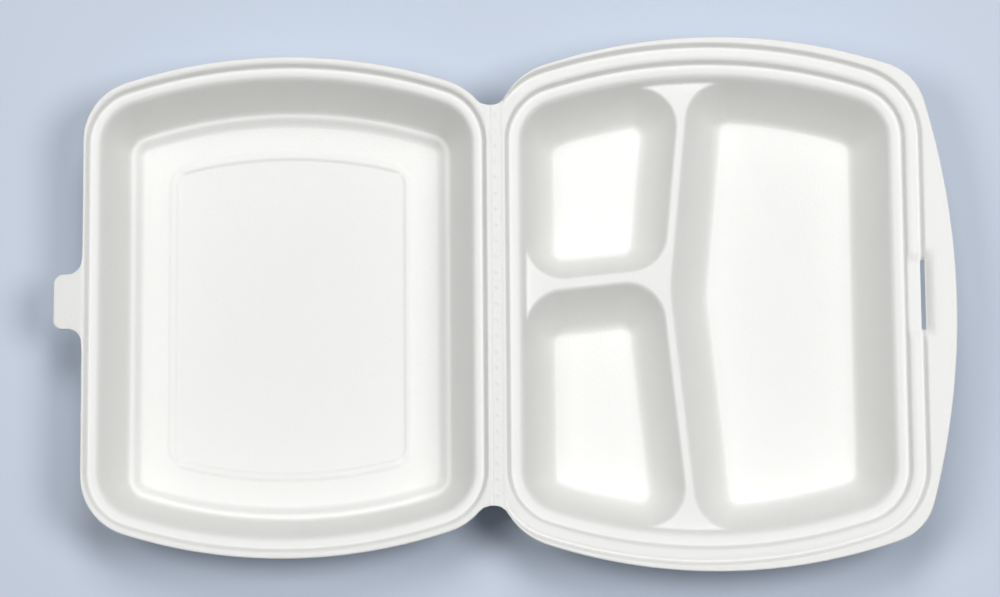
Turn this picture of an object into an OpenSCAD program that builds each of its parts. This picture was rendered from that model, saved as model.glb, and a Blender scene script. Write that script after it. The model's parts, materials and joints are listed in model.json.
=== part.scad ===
// Hinged three-compartment take-away box, thermoformed from one sheet of white foamed polystyrene.
// It lies open: the tray on the +X side, the lid on the -X side, the living hinge along Y between them.

/* [Sheet] */
// Thickness of the formed foam sheet
sheet_t = 2.2; // [1.6:0.1:3]
// Thickness of the sheet where it is pressed thin for the hinge
web_t = 1.2; // [0.8:0.1:1.6]
// Height of the seat plane, in which the two rims meet, above the table
seat_z = 38; // [32:0.5:50]

/* [Seat outline shared by tray and lid] */
// From the hinge axis to the seat outline
seat_gap = 4.7; // [3.8:0.1:4.8]
// Depth of the seat outline, hinge side to front
seat_depth = 180.6; // [165:0.1:200]
// Length of the seat outline along the hinge, at its middle
seat_len = 221.5; // [205:0.5:235]
// Radius of the two bowed ends of the seat outline
seat_bow_r = 236; // [200:1:320]
// Corner radius of the seat outline
seat_corner_r = 26; // [25.5:0.1:30]

/* [Tray rim] */
// Seat land outside the seat outline, up to the foot of the kerb
kerb_foot = 5.1; // [4.8:0.1:6]
// Width of the slope of the kerb
kerb_run = 2.1; // [1.5:0.1:3.5]
// Height of the outer flange above the seat plane
kerb_rise = 2.4; // [1:0.1:3]
// Gap that the kerb keeps around the closed lid
lid_play = 1; // [0.6:0.1:1.2]
// Width of the slope from the seat down to the inner land
tray_step_run = 2; // [1.5:0.1:3]
// Width of the inner land of the tray
tray_land = 4.4; // [2.5:0.1:5]
// Drop from a seat plane to the inner land, in the tray and in the lid
rim_drop = 3.4; // [1:0.1:4]

/* [Tray flange] */
// Width of the flange at the middle of the front, from the seat outline to the edge
flange_front = 21.6; // [19:0.1:30]
// Radius of the bowed front edge
flange_front_r = 340; // [280:5:500]
// Width of the flange at its two ends, from the seat outline to the edge
flange_end = 10.5; // [10:0.1:16]
// Radius of the bowed ends of the flange
flange_bow_r = 248; // [220:1:330]
// From the middle of the seat outline to the widest place of the flange
flange_shift = 4.3; // [-4:0.1:12]
// Corner radius of the flange beside the hinge
flange_hinge_r = 32; // [26:1:40]
// Corner radius of the flange at the front
flange_front_corner_r = 24; // [15:1:32]

/* [Compartments] */
// Sideways run of the outer walls for each unit of depth
wall_draft = 0.44; // [0.3:0.01:0.48]
// From the inner land down to the top of the dividers
divider_drop = 5; // [4:0.5:10]
// From the hinge axis to the bend of the long divider
ridge_x = 76.8; // [72:0.1:84]
// Offset of that bend from the middle, towards the back
ridge_y = 6.9; // [-5:0.1:12]
// Width of the top of the long divider
ridge_w = 4; // [3:0.1:8]
// Lean of the two arms of the long divider
ridge_lean = 5.8; // [3:0.1:9]
// Run of the long divider towards the two small compartments, for each unit of depth
ridge_small_draft = 0.5; // [0.35:0.01:0.55]
// Run of the long divider towards the large compartment, for each unit of depth
ridge_large_draft = 0.58; // [0.4:0.01:0.7]
// Radius that rounds the bend of the long divider
ridge_bend_r = 50; // [30:1:80]
// Distance along Y from the middle to the short divider, where it meets the hinge wall
cross_y = 7.8; // [-5:0.1:12]
// Width of the top of the short divider
cross_w = 5.2; // [4:0.1:8]
// Run of the short divider towards the back, for each unit of depth
cross_back_draft = 0.43; // [0.35:0.01:0.55]
// Run of the short divider towards the front, for each unit of depth
cross_front_draft = 0.57; // [0.35:0.01:0.65]
// Softening of the divider edges
divider_soft = 0.8; // [0.4:0.1:1.4]
// Softening of the foot of the compartment walls
floor_soft = 1.4; // [0.6:0.1:2.5]

/* [Lid] */
// Width of the lip of the lid outside the seat outline, along its two ends
lip_w = 3.2; // [2.4:0.1:3.6]
// Width of that lip along the front, beside the tab
lip_front = 1.6; // [1.2:0.1:3.6]
// Width of the slope from the lip down to the inner land of the lid
lid_step_run = 2.2; // [1.5:0.1:3.2]
// Width of the inner land of the lid
lid_land = 3.9; // [2.5:0.1:4.2]
// Sideways run of the lid wall from the land to the shoulder
lid_wall_run = 9.8; // [8:0.1:12]
// Width of the shoulder
shoulder_w = 2.8; // [2:0.1:3.2]
// Height of the shoulder above the lid floor
shoulder_h = 3; // [2.2:0.1:5]
// Sideways run of the low wall under the shoulder
shoulder_run = 3.2; // [1.5:0.1:4]
// From the edge of the lid floor to the middle of the stiffening rib
rib_inset = 14.2; // [9:0.1:20]
// Width of the stiffening rib
rib_w = 3.6; // [2:0.1:6]
// Height of the stiffening rib
rib_h = 0.7; // [0.3:0.1:1.2]
// Corner radius of the stiffening rib, at its middle
rib_corner_r = 8; // [5:0.5:16]

/* [Hinge] */
// Length of the hinge web
web_len = 182; // [150:1:186]
// Radius of the notch at each end of the web
notch_r = 7; // [4:0.5:10]
// From the hinge axis to the crease on either side
crease_x = 2.3; // [1.6:0.1:3]
// Depth of a crease
crease_depth = 0.4; // [0.2:0.1:0.6]

/* [Latch] */
// Offset of tab and slot from the middle, towards the back
latch_y = 2.5; // [-6:0.1:6]
// Length of the tab along its own slope
tab_len = 13.5; // [9:0.1:15]
// Width of the tab
tab_w = 25; // [18:0.5:30]
// Corner radius at the tip of the tab
tab_tip_r = 3.4; // [2:0.1:6]
// Fillet radius at the root of the tab
tab_root_r = 4.5; // [1:0.1:5]
// Droop of the tab below the lip, in degrees
tab_droop = 12; // [10:0.5:20]
// From the kerb foot to the slot
slot_offset = 0.6; // [0.5:0.1:3]
// Width of the slot
slot_w = 2.6; // [2.4:0.1:6]
// Gap between the tab and each end of the slot
slot_play = 3.25; // [2:0.05:9]
// Corner radius of the slot
slot_corner_r = 0.8; // [0.4:0.1:1.2]
// Drop of the pad in front of the slot below the seat plane
pad_drop = 1.2; // [0.4:0.1:2]
// Width of the ramp that rises from the slot to the flange
ramp_run = 3.2; // [1.5:0.1:4]
// Ledge that the recess leaves around the slot
slot_ledge = 0.4; // [0.3:0.1:1.2]
// Flare of the two ends of the latch recess
recess_flare = 4.5; // [0.5:0.1:6]

/* [Hidden] */
foam_colour = "#f4f4f2";
// Straight steps of a rounded corner and of a bowed side, and facets of a full circle
corner_steps = 10;
bow_steps = 14;
arc_fn = 64;
// How far a cut reaches past the surface it opens
skim = 1;

// Kinds of side of an outline
LINE = 0;
ARC = 1;
// Stands for a compartment without a bent divider
NO_BEND = -1;

wall_top_z = seat_z - rim_drop;
divider_z = wall_top_z - divider_drop;
floor_z = sheet_t;
shoulder_z = floor_z + shoulder_h;
flange_z = seat_z + kerb_rise;
pad_z = seat_z - pad_drop;
seat_front = seat_gap + seat_depth;
seat_mid_x = seat_gap + seat_depth / 2;
flange_reach = seat_front + flange_front;
flange_len = seat_len + 2 * flange_end;
flange_wide_x = seat_mid_x + flange_shift;
tray_wall_inset = tray_step_run + tray_land;
lid_wall_inset = lid_step_run + lid_land;
shoulder_inset = lid_wall_inset + lid_wall_run;
lid_floor_inset = shoulder_inset + shoulder_w + shoulder_run;
web_relief_x = seat_gap - sheet_t / 2;
slot_x = seat_front + kerb_foot + slot_offset;
slot_len = tab_w + 2 * slot_play;
tab_root_x = seat_front + lip_front;
tab_reach = tab_root_x + tab_len * cos(tab_droop);
hinge_x = (tab_reach - flange_reach) / 2;

// A side is [LINE, outward angle, distance from the origin] or [ARC, centre, radius].
// An outline is a list of sides, counter-clockwise around a convex shape.
seat_sides = [
    [LINE, 180, -seat_gap],
    [ARC, [seat_mid_x, seat_bow_r - seat_len / 2], seat_bow_r],
    [LINE, 0, seat_front],
    [ARC, [seat_mid_x, seat_len / 2 - seat_bow_r], seat_bow_r]
];
flange_sides = [
    [LINE, 180, 0],
    [ARC, [flange_wide_x, flange_bow_r - flange_len / 2], flange_bow_r],
    [ARC, [flange_reach - flange_front_r, 0], flange_front_r],
    [ARC, [flange_wide_x, flange_len / 2 - flange_bow_r], flange_bow_r]
];
flange_radii = [flange_hinge_r, flange_front_corner_r, flange_front_corner_r, flange_hinge_r];

function unit(angle) = [cos(angle), sin(angle)];
function inset_side(side, inset) = [side[0], side[1], side[2] - inset];

// Centre of the fillet of radius r between one side and the next
function corner_center(a, b, r) =
    a[0] == LINE && b[0] == LINE ? line_line(a, b, r)
    : a[0] == ARC && b[0] == ARC ? arc_arc(a, b, r)
    : a[0] == LINE ? line_arc(a, b, r, 1)
    : line_arc(b, a, r, -1);

function line_line(a, b, r) =
    let (n = unit(a[1]), m = unit(b[1]), turn = n.x * m.y - n.y * m.x)
    let (p = a[2] - r, q = b[2] - r)
    [(p * m.y - q * n.y) / turn, (q * n.x - p * m.x) / turn];

function line_arc(line, arc, r, way) =
    let (n = unit(line[1]), along = [-n.y, n.x], near = line[2] - r - n * arc[1])
    arc[1] + n * near + along * way * sqrt(pow(arc[2] - r, 2) - near * near);

function arc_arc(a, b, r) =
    let (d = b[1] - a[1], span = norm(d), ra = a[2] - r, rb = b[2] - r)
    let (near = (span * span + ra * ra - rb * rb) / (2 * span))
    a[1] + (d * near + [-d.y, d.x] * sqrt(ra * ra - near * near)) / span;

// Outward angle of a side where the fillet centred at p touches it
function side_angle(side, p) =
    side[0] == LINE ? side[1] : atan2(p.y - side[1].y, p.x - side[1].x);

function turned(from, to) = from + ((to - from) % 360 + 360) % 360;

// Points of a convex outline whose sides are moved in by insets and whose corners have the given radii.
// Corner i lies between side i and side i + 1.
function outline(sides, insets, radii) =
    let (n = len(sides), last = n - 1)
    let (s = [for (i = [0:last]) inset_side(sides[i], insets[i])])
    let (c = [for (i = [0:last]) corner_center(s[i], s[(i + 1) % n], radii[i])])
    [for (i = [0:last])
        let (next = s[(i + 1) % n], from = side_angle(s[i], c[i]))
        let (to = turned(from, side_angle(next, c[i])))
        let (end = turned(to, side_angle(next, c[(i + 1) % n])))
        each concat(
            [for (k = [0:corner_steps]) c[i] + radii[i] * unit(from + (to - from) * k / corner_steps)],
            next[0] == LINE ? []
            : [for (k = [1:bow_steps - 1]) next[1] + next[2] * unit(to + (end - to) * k / bow_steps)])];

// The seat outline moved inwards, with its corners kept round one centre
function seat(inset) =
    outline(seat_sides, [for (s = seat_sides) inset], [for (s = seat_sides) seat_corner_r - inset]);

// Outline of the lip of the lid
function lip() =
    let (far_r = seat_corner_r + lip_front, near_r = seat_corner_r + lip_w)
    outline(seat_sides, [-lip_w, -lip_w, -lip_front, -lip_w], [near_r, far_r, far_r, near_r]);

// Outline of an upright rectangle with rounded corners
function rectangle(x0, x1, y0, y1, r) =
    outline([[LINE, 180, -x0], [LINE, 270, -y0], [LINE, 0, x1], [LINE, 90, y1]],
        [0, 0, 0, 0], [r, r, r, r]);

// Solid between one convex outline and another at a different height
module band(low, low_z, high, high_z) {
    points = concat([for (p = low) [p.x, p.y, low_z]], [for (p = high) [p.x, p.y, high_z]]);
    hull()
        polyhedron(points, [[for (i = [0:len(points) - 1]) i]]);
}

module plate(bottom, top) {
    translate([0, 0, bottom])
        linear_extrude(top - bottom)
            children();
}

// A step of a rim is [inset at its head, height of its head, inset at its foot, height of its foot].
tray_steps = [
    [-kerb_foot - kerb_run, flange_z, -kerb_foot, seat_z],
    [0, seat_z, tray_step_run, wall_top_z],
    [tray_wall_inset, wall_top_z, tray_wall_inset + wall_draft * divider_drop, divider_z]
];
lid_steps = [
    [0, seat_z, lid_step_run, wall_top_z],
    [lid_wall_inset, wall_top_z, shoulder_inset, shoulder_z],
    [shoulder_inset + shoulder_w, shoulder_z, lid_floor_inset, floor_z]
];

module step_hollows(steps) {
    for (s = steps)
        band(seat(s[2]), s[3], seat(s[0]), s[1]);
}

// The same steps moved out by one sheet thickness, square to each slope
module step_backs(steps) {
    for (s = steps) {
        draft = (s[2] - s[0]) / (s[1] - s[3]);
        back = sheet_t * (sqrt(1 + draft * draft) - draft);
        band(seat(s[2] - back), s[3] - sheet_t, seat(s[0] - back), s[1] - sheet_t);
    }
}

// Flat outline of the whole cut sheet, with the rounded notches at the ends of the hinge
module cut_sheet() {
    offset(r = -notch_r, $fn = arc_fn)
        offset(r = notch_r, $fn = arc_fn) {
            polygon(outline(flange_sides, [0, 0, 0, 0], flange_radii));
            mirror([1, 0])
                polygon(lip());
            translate([-seat_gap, -web_len / 2])
                square([2 * seat_gap, web_len]);
        }
}

// The half of the cut sheet on the tray's or on the lid's side of the hinge axis, both drawn towards +X
module cut_half(side) {
    intersection() {
        mirror([side == "tray" ? 0 : 1, 0])
            cut_sheet();
        translate([0, -flange_len])
            square([flange_reach + skim, 2 * flange_len]);
    }
}

// Where the closed lid lies on the tray, with the play around it
module lid_shadow() {
    offset(r = lid_play, $fn = arc_fn)
        cut_half("lid");
}

// What is pressed out of the sheet for one half of the hinge: the thin web from below, a crease from above
module hinge_cuts() {
    translate([-skim, -web_len, seat_z - sheet_t - skim])
        cube([web_relief_x + skim, 2 * web_len, sheet_t - web_t + skim]);
    translate([crease_x, 0, seat_z])
        rotate([0, 45, 0])
            cube([crease_depth * sqrt(2), web_len, crease_depth * sqrt(2)], center = true);
}

// Compartments. Their outer walls carry on the wall of the tray, and the dividers are the lines between them.
divider_inset = tray_wall_inset + wall_draft * divider_drop;
outer_sides = [for (s = seat_sides) inset_side(s, divider_inset)];

// Line of a divider through a point, with the outward angle that the compartment's wall has there
function divider_side(angle, point, half_w) = [LINE, angle, unit(angle) * point - half_w];

ridge_bend = [ridge_x, ridge_y];
cross_end = [seat_gap + tray_wall_inset, cross_y];
cross_turn = 90 + ridge_lean;

back_sides = [
    outer_sides[0],
    divider_side(cross_turn + 180, cross_end, cross_w / 2),
    divider_side(-ridge_lean, ridge_bend, ridge_w / 2),
    outer_sides[3]
];
front_sides = [
    outer_sides[0],
    outer_sides[1],
    divider_side(ridge_lean, ridge_bend, ridge_w / 2),
    divider_side(cross_turn, cross_end, cross_w / 2)
];
main_sides = [
    divider_side(180 - ridge_lean, ridge_bend, ridge_w / 2),
    divider_side(180 + ridge_lean, ridge_bend, ridge_w / 2),
    outer_sides[1],
    outer_sides[2],
    outer_sides[3]
];

// A compartment is [sides, drafts, true for each side that is a divider, corner at the bend of the long divider].
back_room = [
    back_sides,
    [wall_draft, cross_back_draft, ridge_small_draft, wall_draft],
    [false, true, true, false],
    NO_BEND
];
front_room = [
    front_sides,
    [wall_draft, wall_draft, ridge_small_draft, cross_front_draft],
    [false, false, true, true],
    NO_BEND
];
main_room = [
    main_sides,
    [ridge_large_draft, ridge_large_draft, wall_draft, wall_draft, wall_draft],
    [true, true, false, false, false],
    0
];
rooms = [back_room, front_room, main_room];

// A corner keeps the radius that the tray's own corner has at that height, and the bend has its own.
function room_radius(room, i, z, grow) =
    let (full = grow * sqrt(1 + wall_draft * wall_draft))
    room[3] == i ? ridge_bend_r + full
    : seat_corner_r - divider_inset - wall_draft * (divider_z - z) + full;

// Outline of a compartment at height z, with its walls moved out by grow and its dividers by open
function room_outline(room, z, grow = 0, open = 0) =
    let (last = len(room[0]) - 1)
    outline(room[0],
        [for (i = [0:last])
            let (draft = room[1][i])
            draft * (divider_z - z) - grow * sqrt(1 + draft * draft) - (room[2][i] ? open : 0)],
        [for (i = [0:last]) room_radius(room, i, z, grow)]);

module room_hollow(room) {
    foot_z = floor_z + floor_soft;
    head_z = divider_z - divider_soft;
    band(room_outline(room, foot_z, -floor_soft / 2), floor_z, room_outline(room, foot_z), foot_z);
    band(room_outline(room, foot_z), foot_z, room_outline(room, head_z), head_z);
    band(room_outline(room, head_z), head_z, room_outline(room, divider_z, 0, divider_soft), divider_z);
}

module room_back(room) {
    top_z = divider_z - sheet_t;
    band(room_outline(room, 0, sheet_t), 0, room_outline(room, top_z, sheet_t), top_z);
}

// The latch recess across seat and kerb: a low pad up to the slot, then a ramp up to the flange
function recess(level_z, grow) =
    let (rise = (level_z - pad_z) / (flange_z - pad_z), edge = slot_ledge + grow)
    let (half = slot_len / 2 + recess_flare * rise + edge, corner_r = slot_corner_r + edge)
    rectangle(seat_front - tray_step_run - corner_r, slot_x + slot_w + ramp_run * rise + edge,
        latch_y - half, latch_y + half, corner_r);

module latch_hollow() {
    band(recess(pad_z, 0), pad_z, recess(flange_z + skim, 0), flange_z + skim);
    plate(pad_z - 2 * sheet_t, pad_z + skim)
        polygon(rectangle(slot_x, slot_x + slot_w, latch_y - slot_len / 2, latch_y + slot_len / 2,
            slot_corner_r));
}

module latch_back() {
    band(recess(pad_z, sheet_t / 2), pad_z - sheet_t, recess(flange_z, sheet_t / 2), flange_z - sheet_t);
}

module tray() {
    color(foam_colour)
        translate([hinge_x, 0, 0])
            difference() {
                intersection() {
                    union() {
                        plate(flange_z - sheet_t, flange_z)
                            cut_half("tray");
                        plate(seat_z - web_t, seat_z)
                            lid_shadow();
                        step_backs(tray_steps);
                        latch_back();
                        for (room = rooms)
                            room_back(room);
                    }
                    plate(0, flange_z)
                        cut_half("tray");
                }
                plate(seat_z, flange_z + skim)
                    lid_shadow();
                step_hollows(tray_steps);
                for (room = rooms)
                    room_hollow(room);
                latch_hollow();
                hinge_cuts();
            }
}

// The closed loop of the stiffening rib in the lid floor, seen from above
module rib_loop() {
    difference() {
        polygon(rib_edge(-rib_w / 2));
        polygon(rib_edge(rib_w / 2));
    }
}

function rib_edge(inset) =
    let (total = lid_floor_inset + rib_inset + inset)
    outline(seat_sides, [for (s = seat_sides) total], [for (s = seat_sides) rib_corner_r - inset]);

module tab_shape() {
    difference() {
        translate([0, -tab_w / 2 - tab_root_r])
            square([tab_root_r, tab_w + 2 * tab_root_r]);
        for (end = [-1, 1])
            translate([tab_root_r, end * (tab_w / 2 + tab_root_r)])
                circle(tab_root_r, $fn = arc_fn);
    }
    polygon(rectangle(-tab_tip_r, tab_len, -tab_w / 2, tab_w / 2, tab_tip_r));
}

module tab() {
    translate([tab_root_x, latch_y, seat_z])
        rotate([0, tab_droop, 0])
            plate(-sheet_t, 0)
                intersection() {
                    tab_shape();
                    translate([0, -tab_w])
                        square([tab_len, 2 * tab_w]);
                }
}

module lid() {
    color(foam_colour)
        translate([hinge_x, 0, 0])
            mirror([1, 0, 0]) {
                difference() {
                    union() {
                        plate(seat_z - sheet_t, seat_z)
                            cut_half("lid");
                        step_backs(lid_steps);
                    }
                    step_hollows(lid_steps);
                    hinge_cuts();
                    plate(-skim, rib_h)
                        rib_loop();
                }
                plate(floor_z - rib_h, floor_z + rib_h)
                    rib_loop();
                tab();
            }
}

tray();
lid();
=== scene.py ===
"""Looks of an opened foam take-away box: formed tray, formed lid and the pressed hinge between them.

Plan sizes are in millimetres from the hinge axis, with +X from the hinge into the half that is drawn.
The lid is drawn on the same side as the tray and turned over to -X when its mesh is made.
"""

import json
import logging
import math
from collections.abc import Callable
from dataclasses import dataclass, field, replace
from enum import Enum, IntEnum

import bmesh
import bpy
import numpy as np
from bpy.types import ID, Material, Node, NodeSocket, NodeTree, Object
from mathutils import Matrix, Vector


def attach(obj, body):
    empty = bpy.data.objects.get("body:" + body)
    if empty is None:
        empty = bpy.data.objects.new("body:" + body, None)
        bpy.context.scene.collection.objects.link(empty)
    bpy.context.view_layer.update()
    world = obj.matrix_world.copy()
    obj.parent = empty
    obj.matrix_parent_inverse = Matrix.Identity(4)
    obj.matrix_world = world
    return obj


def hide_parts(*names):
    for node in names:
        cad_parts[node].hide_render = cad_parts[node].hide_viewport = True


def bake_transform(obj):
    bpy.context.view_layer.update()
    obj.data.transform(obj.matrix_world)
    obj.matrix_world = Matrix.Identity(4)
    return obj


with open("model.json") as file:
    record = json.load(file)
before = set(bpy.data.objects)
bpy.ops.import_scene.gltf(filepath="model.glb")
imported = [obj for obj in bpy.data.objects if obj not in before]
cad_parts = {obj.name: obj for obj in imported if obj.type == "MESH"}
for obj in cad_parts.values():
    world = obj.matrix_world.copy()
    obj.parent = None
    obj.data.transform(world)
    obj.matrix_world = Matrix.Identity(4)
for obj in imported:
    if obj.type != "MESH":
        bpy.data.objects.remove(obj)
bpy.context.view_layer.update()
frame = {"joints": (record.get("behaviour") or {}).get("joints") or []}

MM = 0.001

# Points nearer than MERGE_MM are one, edges that turn more than SHARP_DEG stay sharp, and every ray that looks for an
# outline meets it within FAR_MM.
MERGE_MM = 0.001
SHARP_DEG = 62.0
FAR_MM = 200.0
NEWTON_STEPS = 12
HALVINGS = 44
TINY = 1e-9

log = logging.getLogger("foam_box")

Array = np.ndarray
Segment = tuple[tuple[float, float], tuple[float, float]]


class Half(Enum):
    """The two halves of the sheet, and the way X runs in each from the hinge."""

    TRAY = 1
    LID = -1


class Stretch(IntEnum):
    """Stretches of the seat outline at which there are marked places, by their number around it."""

    HINGE = 0
    HINGE_LOW_CORNER = 1
    LOW_END = 2
    FRONT = 4
    HIGH_END = 6
    HINGE_HIGH_CORNER = 7


# Plan geometry


@dataclass(frozen=True)
class Line:
    """A straight side of a convex outline: its outward angle in degrees and its distance from the origin."""

    angle: float
    reach: float

    def inset(self, by: float) -> "Line":
        """The same side moved inwards."""
        return Line(self.angle, self.reach - by)

    def normal_at(self, point: Array) -> Array:
        """Outward direction, the same at every point."""
        return heading(self.angle)

    def distance(self, points: Array) -> Array:
        """Signed distance of points, positive outside."""
        return points @ heading(self.angle) - self.reach


@dataclass(frozen=True)
class Arc:
    """A bowed side of a convex outline: part of a circle around a centre."""

    centre: tuple[float, float]
    radius: float

    def inset(self, by: float) -> "Arc":
        """The same side moved inwards."""
        return Arc(self.centre, self.radius - by)

    def normal_at(self, point: Array) -> Array:
        """Outward direction through a point."""
        ray = point - np.array(self.centre)
        return ray / np.linalg.norm(ray)

    def distance(self, points: Array) -> Array:
        """Signed distance of points, positive outside."""
        return np.linalg.norm(points - np.array(self.centre), axis=-1) - self.radius


Side = Line | Arc


def heading(degrees: float | Array) -> Array:
    """Unit direction for an angle in degrees, or for each of many, on a new last axis."""
    turn = np.radians(degrees)
    return np.stack([np.cos(turn), np.sin(turn)], axis=-1)


def bearing(way: Array) -> float:
    """Angle of a direction in degrees."""
    return math.degrees(math.atan2(way[1], way[0]))


def shortest_turn(degrees: float) -> float:
    """The same turn as an angle between -180 and 180 degrees."""
    return (degrees + 180) % 360 - 180


def cross(a: Array, b: Array) -> Array:
    """Turn from a to b: the product of lengths and sine."""
    return a[..., 0] * b[..., 1] - a[..., 1] * b[..., 0]


def corner_centre(a: Side, b: Side, radius: float, start: Array) -> Array:
    """Centre of the fillet between two sides: the point one radius inside both, closed in on from start.

    Args:
        a: One side.
        b: The next side, counter-clockwise.
        radius: Radius of the fillet.
        start: A point inside the outline, from which the corner is sought.

    Returns:
        The centre in the plan.
    """
    point = np.array(start, float)
    for _ in range(NEWTON_STEPS):
        slopes = np.array([a.normal_at(point), b.normal_at(point)])
        error = np.array([a.distance(point), b.distance(point)]) + radius
        point = point - np.linalg.solve(slopes, error)
    return point


class Outline:
    """A convex outline: sides counter-clockwise, and a fillet between each side and the next."""

    def __init__(self, sides: list[Side], radii: list[float], start: tuple[float, float]) -> None:
        """Finds the fillets.

        Args:
            sides: The sides, counter-clockwise.
            radii: Radius of the fillet between each side and the next.
            start: A point inside.
        """
        self.sides = sides
        following = sides[1:] + sides[:1]
        self.corners = [
            (corner_centre(a, b, r, np.array(start)), r, a, b) for a, b, r in zip(sides, following, radii)
        ]

    @property
    def centres(self) -> list[Array]:
        """Centres of the fillets, counter-clockwise."""
        return [corner[0] for corner in self.corners]

    def distance(self, points: Array) -> Array:
        """Signed distance of points: the largest over the sides, or the distance to a fillet in its sector.

        Args:
            points: Plan points on the last axis.

        Returns:
            Distances, positive outside.
        """
        result = np.max([side.distance(points) for side in self.sides], axis=0)
        for centre, radius, a, b in self.corners:
            ray = points - centre
            between = (cross(a.normal_at(centre), ray) >= 0) & (cross(ray, b.normal_at(centre)) >= 0)
            result = np.where(between, np.linalg.norm(ray, axis=-1) - radius, result)
        return result


def cast(distance: Callable[[Array], Array], origins: Array, ways: Array) -> Array:
    """Length of each ray until a signed distance turns positive, halved in on.

    Args:
        distance: Signed distance, positive outside.
        origins: Starts of the rays, inside.
        ways: Unit directions.

    Returns:
        The lengths.
    """
    near = np.zeros(len(origins))
    far = np.full(len(origins), FAR_MM)
    for _ in range(HALVINGS):
        middle = (near + far) / 2
        outside = distance(origins + ways * middle[:, None]) > 0
        far = np.where(outside, middle, far)
        near = np.where(outside, near, middle)
    return near


def spread(breaks: list[float], step: float) -> Array:
    """Values from the first break towards the last, about a step apart, with each break but the last among them."""
    parts = [
        np.linspace(a, b, max(1, math.ceil(abs(b - a) / step)), endpoint=False)
        for a, b in zip(breaks[:-1], breaks[1:])
    ]
    return np.concatenate(parts)


# Soft profiles


def soft_ramp(x: Array, width: Array | float) -> Array:
    """Zero for negative x and x for positive x, with a parabola of the given width between."""
    width = np.maximum(width, TINY)
    curved = np.clip(x + width / 2, 0, width) ** 2 / (2 * width)
    return np.where(x > width / 2, x, curved)


def soft_max(a: Array, b: Array | float, width: Array | float) -> Array:
    """The larger of two heights, with their crease rounded over a width."""
    return b + soft_ramp(a - b, width)


def soft_min(a: Array, b: Array | float, width: Array | float) -> Array:
    """The smaller of two heights, with their crease rounded over a width."""
    return b - soft_ramp(b - a, width)


def smooth_step(x: Array) -> Array:
    """From 0 to 1 as x goes from 0 to 1, level at both ends."""
    t = np.clip(x, 0, 1)
    return t * t * (3 - 2 * t)


@dataclass(frozen=True)
class Profile:
    """Height of a rim across its width: straight stretches of given slopes that meet in soft creases.

    The height at inset u is the first height, plus each change of slope times a soft ramp from its crease. Rings lie
    at RING_SHARES of the width of each crease, more than LEAST_GAP apart.
    """

    RING_SHARES = np.array([-0.5, -0.25, 0.0, 0.25, 0.5])
    LEAST_GAP = 0.15

    head: float
    creases: tuple[float, ...]
    slopes: tuple[float, ...]
    soft: tuple[float, ...]

    @classmethod
    def through(cls, points: list[tuple[float, float]], last_slope: float, soft: tuple[float, ...]) -> "Profile":
        """Profile through crease points, level before the first.

        Args:
            points: Inset and height of each crease, outermost first.
            last_slope: Slope after the last crease.
            soft: Width over which each crease is rounded.

        Returns:
            The profile.
        """
        runs = zip(points[:-1], points[1:])
        slopes = tuple((z1 - z0) / (u1 - u0) for (u0, z0), (u1, z1) in runs)
        return cls(points[0][1], tuple(u for u, _ in points), slopes + (last_slope,), soft)

    def height(self, u: Array) -> Array:
        """Heights at the insets u."""
        z = np.full(np.shape(u), self.head)
        before = 0.0
        for crease, slope, soft in zip(self.creases, self.slopes, self.soft):
            z = z + (slope - before) * soft_ramp(u - crease, soft)
            before = slope
        return z

    def rings(self, first: float, last: float, gap: float) -> Array:
        """Insets at which rings follow the profile: close together in each crease, and else a gap apart.

        Args:
            first: The first inset.
            last: The last inset.
            gap: Largest distance between rings.

        Returns:
            The insets in order.
        """
        marks = (np.array(self.creases)[:, None] + np.array(self.soft)[:, None] * self.RING_SHARES).ravel()
        marks = np.sort(marks[(marks > first + self.LEAST_GAP) & (marks < last - self.LEAST_GAP)])
        marks = marks[np.diff(marks, prepend=-np.inf) > self.LEAST_GAP]
        return np.append(spread([first, *marks, last], gap), last)

    def backed(self, thickness: float) -> "Profile":
        """The underside of the same rim: every stretch moved square to itself by the thickness of the sheet."""
        befores = (0.0,) + self.slopes[:-1]
        creases = tuple(
            u + thickness * (math.hypot(1, a) - math.hypot(1, b)) / (a - b)
            for u, a, b in zip(self.creases, befores, self.slopes)
        )
        return Profile(self.head - thickness, creases, self.slopes, self.soft)


# Meshes


def add_object(name: str, data: ID) -> Object:
    """Adds an object with its data to the scene."""
    added = bpy.data.objects.new(name, data)
    bpy.context.scene.collection.objects.link(added)
    return added


def lifted(points: Array, z: Array) -> Array:
    """Plan points with their heights as third coordinate."""
    return np.concatenate([points, z[..., None]], axis=-1)


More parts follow.
